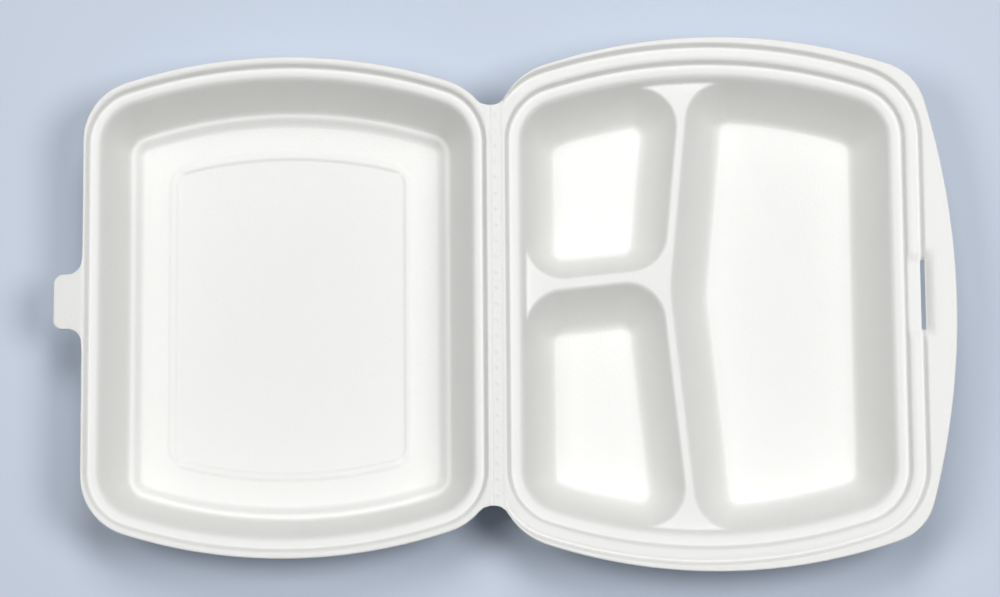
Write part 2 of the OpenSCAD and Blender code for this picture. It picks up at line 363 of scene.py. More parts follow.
@dataclass
class MeshParts:
    """Vertices and faces of one piece, gathered patch by patch."""

    points: list[Array] = field(default_factory=list)
    faces: list[list[int]] = field(default_factory=list)
    count: int = 0

    def add(self, points: Array) -> Array:
        """Adds a grid of points.

        Args:
            points: Points on the last axis, in millimetres.

        Returns:
            Their vertex numbers, in the shape of the grid.
        """
        shape = points.shape[:-1]
        numbers = np.arange(self.count, self.count + int(np.prod(shape))).reshape(shape)
        self.points.append(points.reshape(-1, 3))
        self.count += numbers.size
        return numbers

    def skin(self, numbers: Array, flip: bool = False, keep: Array | None = None) -> None:
        """Adds the quads between neighbouring rows and columns of a grid of vertex numbers.

        Args:
            numbers: Vertex numbers in rows and columns.
            flip: Turns the faces over.
            keep: For each quad, whether it is made.
        """
        quads = np.stack([numbers[:-1, :-1], numbers[:-1, 1:], numbers[1:, 1:], numbers[1:, :-1]], axis=-1)
        quads = quads.reshape(-1, 4) if keep is None else quads[keep]
        self.faces.extend((quads[:, ::-1] if flip else quads).tolist())

    def cap(self, loop: Array, flip: bool = False) -> None:
        """Closes a flat loop of vertices, counter-clockwise from above, with one face."""
        self.faces.append((loop[::-1] if flip else loop).tolist())

    def build(self, name: str, half: Half, hinge: Vector) -> Object:
        """Makes the object, in metres, in its place in the frame.

        Args:
            name: Name of the piece.
            half: The half it is drawn for, which is turned over for the lid.
            hinge: Point of the hinge axis, in metres.

        Returns:
            The object, at the origin, with its doubles merged and its cut edges sharp.
        """
        points = np.concatenate(self.points) * MM
        points[:, 0] *= half.value
        points[:, 0] += hinge.x
        faces = self.faces if half is Half.TRAY else [face[::-1] for face in self.faces]
        mesh = bpy.data.meshes.new(name)
        mesh.from_pydata(points.tolist(), [], faces)
        shape = bmesh.new()
        shape.from_mesh(mesh)
        bmesh.ops.remove_doubles(shape, verts=shape.verts, dist=MERGE_MM * MM)
        shape.to_mesh(mesh)
        shape.free()
        mesh.polygons.foreach_set("use_smooth", np.ones(len(mesh.polygons), bool))
        mesh.set_sharp_from_angle(angle=math.radians(SHARP_DEG))
        return add_object(name, mesh)


def ringed(numbers: Array) -> Array:
    """A grid of vertex numbers with its first column repeated at the end, so that its rows close."""
    return np.concatenate([numbers, numbers[:, :1]], axis=1)


# The container


@dataclass(frozen=True)
class Foam:
    """Sizes of the formed sheet that both halves share, in millimetres."""

    thickness: float = 2.2
    web_thickness: float = 1.2
    seat_z: float = 38.0
    seat_gap: float = 4.7
    seat_depth: float = 180.6
    seat_len: float = 221.5
    seat_bow_r: float = 236.0
    seat_corner_r: float = 26.0
    rim_drop: float = 3.4
    lip_w: float = 3.2
    lip_front: float = 1.6
    web_len: float = 182.0
    notch_r: float = 7.0
    latch_y: float = 2.5
    edge_r: float = 0.6
    riser: float = 0.4
    land_tilt: float = 0.5

    @property
    def seat_front(self) -> float:
        """From the hinge axis to the front of the seat outline."""
        return self.seat_gap + self.seat_depth

    @property
    def seat_mid(self) -> float:
        """From the hinge axis to the middle of the seat outline."""
        return self.seat_gap + self.seat_depth / 2

    @property
    def land_z(self) -> float:
        """Height of the inner land of both rims."""
        return self.seat_z - self.rim_drop

    @property
    def web_edge(self) -> float:
        """From the hinge axis to where the sheet is pressed thin for the hinge."""
        return self.seat_gap - self.thickness / 2

    def bow(self, end: int) -> Arc:
        """The bowed end of the seat outline, at its -Y end for -1 and at its +Y end for 1."""
        return Arc((self.seat_mid, -end * (self.seat_bow_r - self.seat_len / 2)), self.seat_bow_r)

    def seat_sides(self, inset: float = 0.0) -> list[Side]:
        """Sides of the seat outline, counter-clockwise from the hinge side, moved inwards by an inset."""
        sides = [Line(180, -self.seat_gap), self.bow(-1), Line(0, self.seat_front), self.bow(1)]
        return [side.inset(inset) for side in sides]

    def seat_outline(self) -> Outline:
        """The seat outline with its round corners."""
        sides = self.seat_sides()
        return Outline(sides, [self.seat_corner_r] * len(sides), (self.seat_mid, 0.0))

    def lip_outline(self) -> Outline:
        """Outline of the lip of the lid, which is narrower along the front."""
        widths = [self.lip_w, self.lip_w, self.lip_front, self.lip_w]
        sides = [side.inset(-width) for side, width in zip(self.seat_sides(), widths)]
        near, far = self.seat_corner_r + self.lip_w, self.seat_corner_r + self.lip_front
        return Outline(sides, [near, far, far, near], (self.seat_mid, 0.0))


@dataclass
class SeatRing:
    """Places around the seat outline, counter-clockwise from the back of the hinge side.

    Each place is a share of one of eight stretches: side, corner, side, corner and so on.
    """

    foam: Foam
    shares: list[Array]

    @classmethod
    def marked(cls, foam: Foam, marks: dict[int, list[float]], step: float) -> "SeatRing":
        """Places about a step apart, with marked places among them.

        Args:
            foam: Sizes of the sheet.
            marks: For a stretch, the shares of its length at which there must be places.
            step: Distance between places.

        Returns:
            The ring.
        """
        lengths = cls(foam, []).lengths()
        shares = [
            spread([0.0, *sorted(marks.get(i, [])), 1.0], step / length) for i, length in enumerate(lengths)
        ]
        return cls(foam, shares)

    def stretches(self, inset: float, radius: float) -> list[tuple[Array, Array, float, float, float]]:
        """Start, end, radius and the two outward angles of the eight stretches, for an inset and a corner radius.

        Args:
            inset: How far the sides are moved inwards.
            radius: Radius of the corners.

        Returns:
            For each stretch the first and last centre, the radius around it, and the first and last angle.
        """
        sides = self.foam.seat_sides(inset)
        centres = Outline(sides, [radius] * len(sides), (self.foam.seat_mid, 0.0)).centres
        result = []
        for i, side in enumerate(sides):
            before, after = centres[i - 1], centres[i]
            first = bearing(side.normal_at(before))
            last = first + shortest_turn(bearing(side.normal_at(after)) - first)
            if isinstance(side, Line):
                shift = radius * heading(side.angle)
                result.append((before + shift, after + shift, 0.0, first, last))
            else:
                centre = np.array(side.centre)
                result.append((centre, centre, side.radius, first, last))
            turn = bearing(sides[(i + 1) % len(sides)].normal_at(after))
            result.append((after, after, radius, last, last + (turn - last) % 360))
        return result

    def share_at(self, stretch: int, point: Array) -> float:
        """Share of a stretch of the seat outline at which a plan point lies."""
        a, b, radius, first, last = self.stretches(0.0, self.foam.seat_corner_r)[stretch]
        if radius == 0.0:
            return float((point - a) @ (b - a) / ((b - a) @ (b - a)))
        return shortest_turn(bearing(point - a) - first) / (last - first)

    def index_of(self, stretch: int, share: float) -> int:
        """Number of the place nearest to a share of a stretch."""
        before = sum(len(part) for part in self.shares[:stretch])
        return before + int(np.argmin(np.abs(self.shares[stretch] - share)))

    def lengths(self) -> list[float]:
        """Lengths of the eight stretches of the seat outline."""
        return [
            float(np.linalg.norm(b - a)) + radius * math.radians(last - first)
            for a, b, radius, first, last in self.stretches(0.0, self.foam.seat_corner_r)
        ]

    def places(self, inset: float = 0.0, radius: float | None = None) -> tuple[Array, Array]:
        """Points on the outline moved inwards, and the outward directions there.

        Args:
            inset: How far the sides are moved inwards.
            radius: Radius of the corners, by default that of concentric corners.

        Returns:
            Points and outward directions.
        """
        radius = self.foam.seat_corner_r - inset if radius is None else radius
        points, ways = [], []
        for share, (a, b, r, first, last) in zip(self.shares, self.stretches(inset, radius)):
            way = heading(first + (last - first) * share)
            points.append(a + (b - a) * share[:, None] + r * way)
            ways.append(way)
        return np.concatenate(points), np.concatenate(ways)


@dataclass(frozen=True)
class Notch:
    """The round notch in the cut edge at each end of the hinge, as one half of the sheet has it."""

    centre: tuple[float, float]
    touch: tuple[float, float]
    radius: float

    @classmethod
    def beside(cls, foam: Foam, corner: Array, corner_r: float) -> "Notch":
        """Notch that touches the end of the web and a round corner of the half.

        Args:
            foam: Sizes of the sheet.
            corner: Centre of the corner.
            corner_r: Radius of the corner.

        Returns:
            The notch at the back end.
        """
        y = foam.web_len / 2 + foam.notch_r
        span = corner_r + foam.notch_r
        x = corner[0] - math.sqrt(span**2 - (y - corner[1]) ** 2)
        share = foam.notch_r / span
        touch = (x + (corner[0] - x) * share, y + (corner[1] - y) * share)
        return cls((x, y), touch, foam.notch_r)

    @classmethod
    def beside_lip(cls, foam: Foam) -> "Notch":
        """Notch that touches the end of the web and the lip of the lid."""
        corner = np.abs(foam.lip_outline().centres[0])
        return cls.beside(foam, corner, foam.seat_corner_r + foam.lip_w)

    def web_ends(self, foam: Foam, plan: SeatRing) -> dict[int, list[float]]:
        """Shares of the two corners beside the hinge at which a place faces the end of the hinge strip."""
        y = self.centre[1] - math.sqrt(self.radius**2 - (foam.web_edge - self.centre[0]) ** 2)
        corners = {Stretch.HINGE_LOW_CORNER: -y, Stretch.HINGE_HIGH_CORNER: y}
        return {corner: [plan.share_at(corner, np.array([foam.web_edge, end]))] for corner, end in corners.items()}

    def distance(self, points: Array, half_sheet: Array) -> Array:
        """Signed distance to the half sheet with its notches.

        Args:
            points: Plan points.
            half_sheet: Signed distance to the half sheet without the hinge.

        Returns:
            Distances, positive outside.
        """
        folded = np.stack([points[..., 0], np.abs(points[..., 1])], axis=-1)
        web = np.max(folded - np.array(self.touch), axis=-1)
        gap = self.radius - np.linalg.norm(folded - np.array(self.centre), axis=-1)
        return np.maximum(np.minimum(half_sheet, web), gap)


class FormedHalf:
    """What tray and lid have in common: a ring of places around the seat, and a cut edge outside it.

    Rings lie at EDGE_DEG around the rounded cut edge. Where the sheet is narrow, its rings keep at least HELD_SHARE of
    it, those near the seat take NEAR_SHARE of that, and the rounded edge takes at most ROUND_SHARE.
    """

    EDGE_DEG = (0.0, 30.0, 60.0, 90.0)
    HELD_SHARE = 0.5
    NEAR_SHARE = 0.9
    ROUND_SHARE = 0.25

    def __init__(self, foam: Foam, ring: SeatRing) -> None:
        """Takes the sizes and the ring of places, and finds how far the sheet goes beyond it.

        Args:
            foam: Sizes of the sheet.
            ring: Places around the seat outline.
        """
        self.foam = foam
        self.ring = ring
        self.base, self.way = ring.places()
        self.reach, self.free = self.cut_reach()

    def sheet_distance(self, points: Array) -> Array:
        """Signed distance to the half sheet with its notches, without the hinge strip."""
        raise NotImplementedError

    def cut_reach(self) -> tuple[Array, Array]:
        """How far the sheet goes beyond the seat outline at each place.

        Returns:
            The reach, and the share of the edge rounding, which is nothing along the hinge strip.
        """
        foam = self.foam

        def outside(points: Array) -> Array:
            """Signed distance to the half sheet up to the hinge strip."""
            return np.maximum(self.sheet_distance(points), foam.web_edge - points[..., 0])

        reach = cast(outside, self.base, self.way)
        ends = self.base + self.way * reach[:, None]
        free = smooth_step((ends[:, 0] - foam.web_edge) / foam.edge_r)
        return reach, free

    def rim_insets(self, rows: Array, span: float, flange_rings: int) -> tuple[Array, Array]:
        """Insets of the rings of a rim, from the cut edge inwards.

        Where the sheet is narrow, the rings outside the seat outline are drawn in: first those beyond the span,
        then all of them.

        Args:
            rows: Insets of the rings where the sheet is wide, negative outside the seat outline.
            span: Distance outside the seat outline up to which rings keep their place as long as they can.
            flange_rings: Number of further rings out to the edge.

        Returns:
            Insets, one row for each ring, and the distance of each from the cut edge.
        """
        edge = self.foam.edge_r * (1 - np.cos(np.radians(self.EDGE_DEG)))
        reach = self.reach
        out = -rows[rows < 0][:, None]
        inner = rows[rows >= 0]
        far = out[0, 0]
        kept = np.minimum(np.maximum(reach - 2 * edge[-1], self.HELD_SHARE * reach), far)
        near = np.minimum(span, self.NEAR_SHARE * kept)
        drawn = -np.where(out < span, out * near / span, near + (out - span) * (kept - near) / (far - span))
        inside = np.minimum(edge[-1], self.ROUND_SHARE * reach)
        rounding = -reach + edge[:, None] / edge[-1] * inside
        shares = np.linspace(0, 1, flange_rings + 2)[1:-1, None]
        flange = rounding[-1] + (drawn[0] - rounding[-1]) * shares
        insets = np.concatenate([rounding, flange, drawn, np.repeat(inner[:, None], len(reach), axis=1)])
        return insets, insets + reach

    def edge_drop(self, from_edge: Array, free: Array) -> Array:
        """How far the surface falls away near the cut edge: a quarter circle of the edge radius."""
        r = self.foam.edge_r
        short = np.clip(r - from_edge, 0, r)
        return free * (r - np.sqrt(r * r - short * short))


@dataclass(frozen=True)
class TrayRim:
    """Sizes of the rim, the flange and the latch of the tray, in millimetres, and the SOFT widths of its creases."""

    SOFT = (4.0, 2.0, 3.6, 2.0, 3.0)

    kerb_foot: float = 5.1
    kerb_run: float = 2.1
    kerb_rise: float = 2.4
    lid_play: float = 1.0
    step_run: float = 2.0
    land: float = 4.4
    flange_front: float = 21.6
    flange_front_r: float = 340.0
    flange_end: float = 10.5
    flange_bow_r: float = 248.0
    flange_shift: float = 4.3
    flange_hinge_r: float = 32.0
    flange_front_corner_r: float = 24.0
    slot_offset: float = 0.6
    slot_w: float = 2.1
    slot_len: float = 31.5
    pad_drop: float = 1.2
    ramp_run: float = 4.2
    ramp_bow: float = 1.5
    slot_ledge: float = 0.1
    recess_flare: float = 3.2

    @property
    def wall_inset(self) -> float:
        """From the seat outline to the head of the compartment walls."""
        return self.step_run + self.land

    def profile(self, foam: Foam, wall_draft: float) -> Profile:
        """Height of the top of the rim across its width."""
        kerb = -self.kerb_foot - self.kerb_run / 2
        step = self.step_run / 2
        points = [
            (kerb - foam.riser / 2, foam.seat_z + self.kerb_rise),
            (kerb + foam.riser / 2, foam.seat_z),
            (step - foam.riser / 2, foam.seat_z),
            (step + foam.riser / 2, foam.land_z + foam.land_tilt),
            (self.wall_inset + wall_draft * foam.land_tilt, foam.land_z - foam.land_tilt),
        ]
        return Profile.through(points, -1 / wall_draft, self.SOFT)

    def flange(self, foam: Foam) -> Outline:
        """Outline of the flange, without the hinge."""
        rise = self.flange_bow_r - foam.seat_len / 2 - self.flange_end
        widest = foam.seat_mid + self.flange_shift
        reach = foam.seat_front + self.flange_front
        sides = [
            Line(180, 0.0),
            Arc((widest, rise), self.flange_bow_r),
            Arc((reach - self.flange_front_r, 0.0), self.flange_front_r),
            Arc((widest, -rise), self.flange_bow_r),
        ]
        near, far = self.flange_hinge_r, self.flange_front_corner_r
        return Outline(sides, [near, far, far, near], (widest, 0.0))


@dataclass(frozen=True)
class Dividers:
    """Sizes of the compartments and their dividers, and a line inside each compartment, in millimetres."""

    wall_draft: float = 0.44
    drop: float = 5.0
    ridge: tuple[float, float] = (76.8, 6.9)
    ridge_w: float = 4.0
    ridge_lean: float = 5.8
    ridge_small_draft: float = 0.5
    ridge_large_draft: float = 0.58
    ridge_bend_r: float = 50.0
    cross_y: float = 7.8
    cross_w: float = 5.2
    cross_back_draft: float = 0.43
    cross_front_draft: float = 0.57
    back_core: Segment = ((47.0, 46.0), (47.0, 54.0))
    front_core: Segment = ((47.0, -60.0), (47.0, -42.0))
    large_core: Segment = ((130.0, -48.0), (130.0, 48.0))


@dataclass(frozen=True)
class Room:
    """A compartment: its sides at the top of the dividers with their drafts, and a line inside to see it from.

    The number of the side before the bend of the long divider is given where there is one.
    """

    walls: tuple[tuple[Side, float], ...]
    core: Segment
    bend: int | None = None

    def core_points(self, points: Array) -> Array:
        """The point of the core line from which each boundary point is seen."""
        low, high = (np.array(end) for end in self.core)
        reach = np.ptp(points[:, 1])
        share = np.clip((points[:, 1] - points[:, 1].min()) / reach, 0, 1)
        return low + (high - low) * share[:, None]

    def outline(self, drop: float, thickness: float, corner_r: float, dividers: Dividers) -> Outline:
        """The compartment at a depth below the divider tops.

        Args:
            drop: Depth below the top of the dividers.
            thickness: How far the walls are moved out, square to themselves.
            corner_r: Radius of the corners at the top of the dividers.
            dividers: Sizes that give the bend's radius, and the draft that the corners follow.

        Returns:
            The outline.
        """
        sides = [side.inset(draft * drop - thickness * math.hypot(1, draft)) for side, draft in self.walls]
        grow = thickness * math.hypot(1, dividers.wall_draft)
        radii = [corner_r - dividers.wall_draft * drop + grow] * len(sides)
        if self.bend is not None:
            radii[self.bend] = dividers.ridge_bend_r + grow
        return Outline(sides, radii, tuple(np.mean(self.core, axis=0)))


@dataclass(frozen=True)
class Surface:
    """One face of the tray: the thickness above it, how softly its dividers are rounded, and its wall head's inset."""

    thickness: float
    under: bool
    divider_soft: float
    ring_inset: float


class Tray(FormedHalf):
    """The half with the compartments: stepped rim, flange, latch recess with its slot, and three formed rooms.

    The constants are lengths in millimetres over which creases are rounded or by which places and rings lie apart,
    numbers of rings, and the shares of a crease at which rings lie.
    """

    FLOOR_SOFT = 9.0
    FILLET = 2.0
    FILLET_DEPTH = 6.0
    STEP = 2.2
    FINE_STEP = 0.4
    FINE_LEN = 5.0
    OUTER_RING = -8.5
    RING_GAP = 2.5
    KEPT_SPAN = 8.6
    FLANGE_RINGS = 4
    SLOT_RINGS = 6
    SLOT_CLEAR = 0.2
    WALL_RINGS = 3
    CORE_CLEAR = 0.02
    RAMP_SHARES = np.array([0.0, 0.15, 0.3, 0.5, 0.75, 1.0])
    HEAD_SHARES = np.array([1.2, 0.9, 0.6, 0.3, 0.0, -0.3, -0.6, -1.0])
    FOOT_SHARES = np.array([1.1, 0.75, 0.5, 0.25, 0.0, -0.25, -0.5, -0.75, -1.0])
    BRIM_SHARES = (0.0, 0.05, 0.12, 0.2, 0.3, 0.42, 0.56, 0.76)

    def __init__(self, foam: Foam, rim: TrayRim, dividers: Dividers) -> None:
        """Lays out the dividers and the places around the seat.

        Args:
            foam: Sizes of the sheet.
            rim: Sizes of the rim.
            dividers: Sizes of the compartments.
        """
        self.rim = rim
        self.dividers = dividers
        self.top_profile = rim.profile(foam, dividers.wall_draft)
        self.divider_z = foam.land_z - dividers.drop
        self.divider_inset = rim.wall_inset + dividers.wall_draft * dividers.drop
        self.flange = rim.flange(foam)
        self.notch = Notch.beside(foam, np.abs(self.flange.centres[0]), rim.flange_hinge_r)
        self.lid_outline = foam.lip_outline()
        self.lid_notch = Notch.beside_lip(foam)
        self.slot_x = foam.seat_front + rim.kerb_foot + rim.slot_offset
        bend = np.array(dividers.ridge)
        lean = dividers.ridge_lean
        self.cross_end = np.array([foam.seat_gap + rim.wall_inset, dividers.cross_y])
        up, down, along = heading(90 - lean), heading(-90 + lean), heading(lean)
        reach = np.linalg.solve(np.stack([up, -along], axis=1), self.cross_end - bend)
        self.junction = bend + up * reach[0]
        self.bend = bend
        plan = SeatRing(foam, [])
        self.seat = foam.seat_outline()

        def wall_point(start: Array, way: Array) -> Array:
            """Where a divider's middle line meets the wall at the height of the dividers."""
            inside = cast(lambda p: self.seat.distance(p) + self.divider_inset, start[None], way[None])
            return start + way * inside[0]

        lengths = plan.lengths()
        walls = {
            Stretch.HINGE: wall_point(self.junction, -along),
            Stretch.LOW_END: wall_point(bend, down),
            Stretch.HIGH_END: wall_point(bend, up),
        }
        ends = {stretch: plan.share_at(stretch, point) for stretch, point in walls.items()}
        beside = np.append(np.arange(-self.FINE_LEN, self.FINE_LEN, 2 * self.FINE_STEP), 0.0)
        marks = {i: np.unique(end + beside / lengths[i]).tolist() for i, end in ends.items()}
        marks.update(self.notch.web_ends(foam, plan))
        marks[Stretch.FRONT] = [
            plan.share_at(Stretch.FRONT, np.array([foam.seat_front, foam.latch_y + end * rim.slot_len / 2]))
            for end in (-1, 1)
        ]
        ring = SeatRing.marked(foam, marks, self.STEP)
        super().__init__(foam, ring)
        self.left, self.lower, self.upper = (ring.index_of(i, end) for i, end in ends.items())
        self.slot_ends = [ring.index_of(Stretch.FRONT, share) for share in marks[Stretch.FRONT]]

    def sheet_distance(self, points: Array) -> Array:
        """Signed distance to the flange with its notches."""
        return self.notch.distance(points, self.flange.distance(points))

    def face_profile(self, surface: Surface) -> Profile:
        """Profile of the rim on one face of the sheet."""
        return self.top_profile.backed(surface.thickness) if surface.under else self.top_profile

    def rooms(self) -> dict[str, Room]:
        """The three compartments by name."""
        d = self.dividers
        hinge, low, front, high = ((side, d.wall_draft) for side in self.foam.seat_sides(self.divider_inset))
        ridge, bar = (self.bend, d.ridge_w), (self.cross_end, d.cross_w)
        lean, across = d.ridge_lean, 90 + d.ridge_lean
        small, large = d.ridge_small_draft, d.ridge_large_draft

        def side(angle: float, point: Array, width: float, draft: float) -> tuple[Side, float]:
            """Side of a divider, half its width from a point of its middle line, with its draft."""
            return Line(angle, float(heading(angle) @ point) - width / 2), draft

        back_walls = (hinge, side(across + 180, *bar, d.cross_back_draft), side(-lean, *ridge, small), high)
        front_walls = (hinge, low, side(lean, *ridge, small), side(across, *bar, d.cross_front_draft))
        large_walls = (side(180 - lean, *ridge, large), side(180 + lean, *ridge, large), low, front, high)
        return {
            "back": Room(back_walls, d.back_core),
            "front": Room(front_walls, d.front_core),
            "large": Room(large_walls, d.large_core, bend=0),
        }

    def boundaries(self, inset: float) -> dict[str, Array]:
        """Boundaries of the cells around the compartments: the wall head, and the middles of the dividers.

        Args:
            inset: Inset of the ring at the wall head.

        Returns:
            A closed line of plan points for each compartment, counter-clockwise.
        """
        ring, _ = self.ring.places(inset)

        def between(a: Array, b: Array, fine_a: float = 0.0, fine_b: float = 0.0) -> Array:
            """Points from a towards b, closer together over the fine lengths at its ends."""
            length = float(np.linalg.norm(b - a))
            parts = [
                spread([0.0, fine_a], self.FINE_STEP),
                spread([fine_a, length - fine_b], self.STEP),
                spread([length - fine_b, length], self.FINE_STEP),
            ]
            along = np.unique(np.concatenate(parts))
            return a + (b - a) * (along[along < length] / length)[:, None]

        left, lower, upper = ring[self.left], ring[self.lower], ring[self.upper]
        bar = between(left, self.junction, fine_a=self.FINE_LEN)
        arm_up = between(self.junction, upper, fine_b=self.FINE_LEN)
        knee = between(self.bend, self.junction)
        arm_down = between(lower, self.bend, fine_a=self.FINE_LEN)

        def backwards(run: Array, end: Array) -> Array:
            """The same points from the end towards the start."""
            return np.concatenate([run[1:], end[None]])[::-1]

        ridge = (backwards(arm_up, upper), backwards(knee, self.junction), backwards(arm_down, self.bend))
        runs = {
            "back": (ring[self.upper :], ring[: self.left], bar, arm_up),
            "front": (ring[self.left : self.lower], arm_down, knee, backwards(bar, self.junction)),
            "large": (ring[self.lower : self.upper], *ridge),
        }
        return {name: np.concatenate(run) for name, run in runs.items()}

    def pressed(self, points: Array, z: Array, thickness: float) -> Array:
        """Heights of the rim where the closed lid lies on it and where the latch is pressed into it.

        Args:
            points: Plan points.
            z: Heights of the plain rim.
            thickness: Thickness below the top of the sheet.

        Returns:
            The heights.
        """
        foam, rim = self.foam, self.rim
        shadow = self.lid_notch.distance(points, self.lid_outline.distance(points)) - rim.lid_play
        floor = foam.seat_z - thickness
        z = np.minimum(z, floor + np.maximum(shadow, 0.0))
        over_x = (points[..., 0] - self.slot_x - rim.slot_w - rim.slot_ledge) / rim.ramp_run
        over_y = (np.abs(points[..., 1] - foam.latch_y) - rim.slot_len / 2 - rim.slot_ledge) / rim.recess_flare
        ramp = np.maximum(1 - (1 - np.clip(over_x, 0, 1)) ** rim.ramp_bow, np.maximum(over_y, 0.0))
        latch = floor - rim.pad_drop + (rim.pad_drop + rim.kerb_rise) * ramp
        front = points[..., 0] > foam.seat_mid
        return np.where(front, np.minimum(z, latch), z)

    def rim_grid(self, parts: MeshParts, surface: Surface) -> tuple[Array, Array]:
        """Adds one face of the rim, with the slot left open.

        Each ring is the seat outline moved in or out by an inset. Its height is the rim's profile at that inset,
        pressed down for the lid and the latch, and rounded off at the cut edge.

        Args:
            parts: The mesh to add to.
            surface: Which face.

        Returns:
            Vertex numbers of the cut edge, and of the closed edge of the slot.
        """
        rim = self.rim
        profile = self.face_profile(surface)
        rows = profile.rings(self.OUTER_RING, surface.ring_inset, self.RING_GAP)
        slot_rows = -rim.kerb_foot - rim.slot_offset - rim.slot_w * np.linspace(1, 0, self.SLOT_RINGS)
        rows = rows[(rows < slot_rows[0] - self.SLOT_CLEAR) | (rows > slot_rows[-1] + self.SLOT_CLEAR)]
        ramp_rows = slot_rows[0] - rim.slot_ledge - rim.ramp_run * self.RAMP_SHARES
        rows = np.sort(np.concatenate([rows, slot_rows, ramp_rows]))
        insets, from_edge = self.rim_insets(rows, self.KEPT_SPAN, self.FLANGE_RINGS)
        points = self.base - insets[..., None] * self.way
        z = self.pressed(points, profile.height(insets), surface.thickness)
        drop = self.edge_drop(from_edge, self.free)
        z = z + drop if surface.under else z - drop
        numbers = parts.add(lifted(points, z))
        closed = ringed(numbers)
        keep = np.ones((closed.shape[0] - 1, closed.shape[1] - 1), bool)
        first = len(insets) - len(rows) + int(np.argmin(np.abs(rows - slot_rows[0])))
        last = first + len(slot_rows) - 1
        low, high = self.slot_ends
        keep[first:last, low:high] = False
        parts.skin(closed, flip=surface.under, keep=keep)
        slot = [
            numbers[first:last, low][::-1],
            numbers[first, low + 1 : high],
            numbers[first : last + 1, high],
            numbers[last, low + 1 : high][::-1],
            numbers[last : last + 1, low],
        ]
        return numbers[0], np.concatenate(slot)

    def room_grid(self, parts: MeshParts, surface: Surface, room: Room, boundary: Array) -> None:
        """Adds one face of a compartment, from the wall head and the middles of the dividers to its floor.

        Every ring of the grid is the compartment's outline at one depth. Its height is that depth, softly held
        under the divider tops, softly raised to the rim's own wall, and softly stopped at the floor.

        Args:
            parts: The mesh to add to.
            surface: Which face.
            room: The compartment.
            boundary: Boundary of its cell.
        """
        profile = self.face_profile(surface)
        plate = self.divider_z - surface.thickness
        floor = self.foam.thickness - surface.thickness
        half = surface.divider_soft / 2
        core = room.core_points(boundary)
        rays = boundary - core
        length = np.linalg.norm(rays, axis=1)
        ways = rays / length[:, None]
        corner_r = self.foam.seat_corner_r - self.divider_inset
        heads = plate + half * self.HEAD_SHARES
        feet = floor + self.FLOOR_SOFT / 2 * self.FOOT_SHARES
        walls = np.linspace(heads[-1], feet[0], self.WALL_RINGS + 2)[1:-1]

        def rim_height(points: Array) -> Array:
            """Height of the rim and its wall, carried on below the dividers."""
            return profile.height(-self.seat.distance(points))

        grid = []
        for height in np.concatenate([heads, walls, feet]):
            shape = room.outline(self.divider_z - height, surface.thickness, corner_r, self.dividers)
            inner = np.minimum(cast(shape.distance, core, ways), length - self.CORE_CLEAR)
            points = core + ways * inner[:, None]
            wall = rim_height(points)
            held = soft_min(np.full(len(points), height), plate, surface.divider_soft)
            z = soft_max(wall, held, self.FILLET * smooth_step((height - wall) / self.FILLET_DEPTH))
            grid.append(lifted(points, soft_max(z, floor, self.FLOOR_SOFT)))
        first = grid[0][:, :2]
        brim = []
        for share in self.BRIM_SHARES:
            points = boundary + (first - boundary) * share
            brim.append(lifted(points, soft_max(rim_height(points), plate, self.FILLET)))
        numbers = parts.add(np.array(brim + grid))
        parts.skin(ringed(numbers), flip=surface.under)
        parts.cap(numbers[-1], flip=surface.under)

    def build(self, hinge: Vector) -> Object:
        """Makes the piece.

        Args:
            hinge: Point of the hinge axis, in metres.

        Returns:
            The tray.
        """
        parts = MeshParts()
        edges, slots = [], []
        faces = (
            Surface(thickness=0.0, under=False, divider_soft=4.0, ring_inset=7.2),
            Surface(thickness=self.foam.thickness, under=True, divider_soft=1.6, ring_inset=5.9),
        )
        rooms = self.rooms()
        for surface in faces:
            edge, slot = self.rim_grid(parts, surface)
            edges.append(edge)
            slots.append(slot)
            for name, boundary in self.boundaries(surface.ring_inset).items():
                self.room_grid(parts, surface, rooms[name], boundary)
        parts.skin(ringed(np.stack(edges)), flip=True)
        parts.skin(ringed(np.stack(slots)))
        return parts.build("tray_shell", Half.TRAY, hinge)


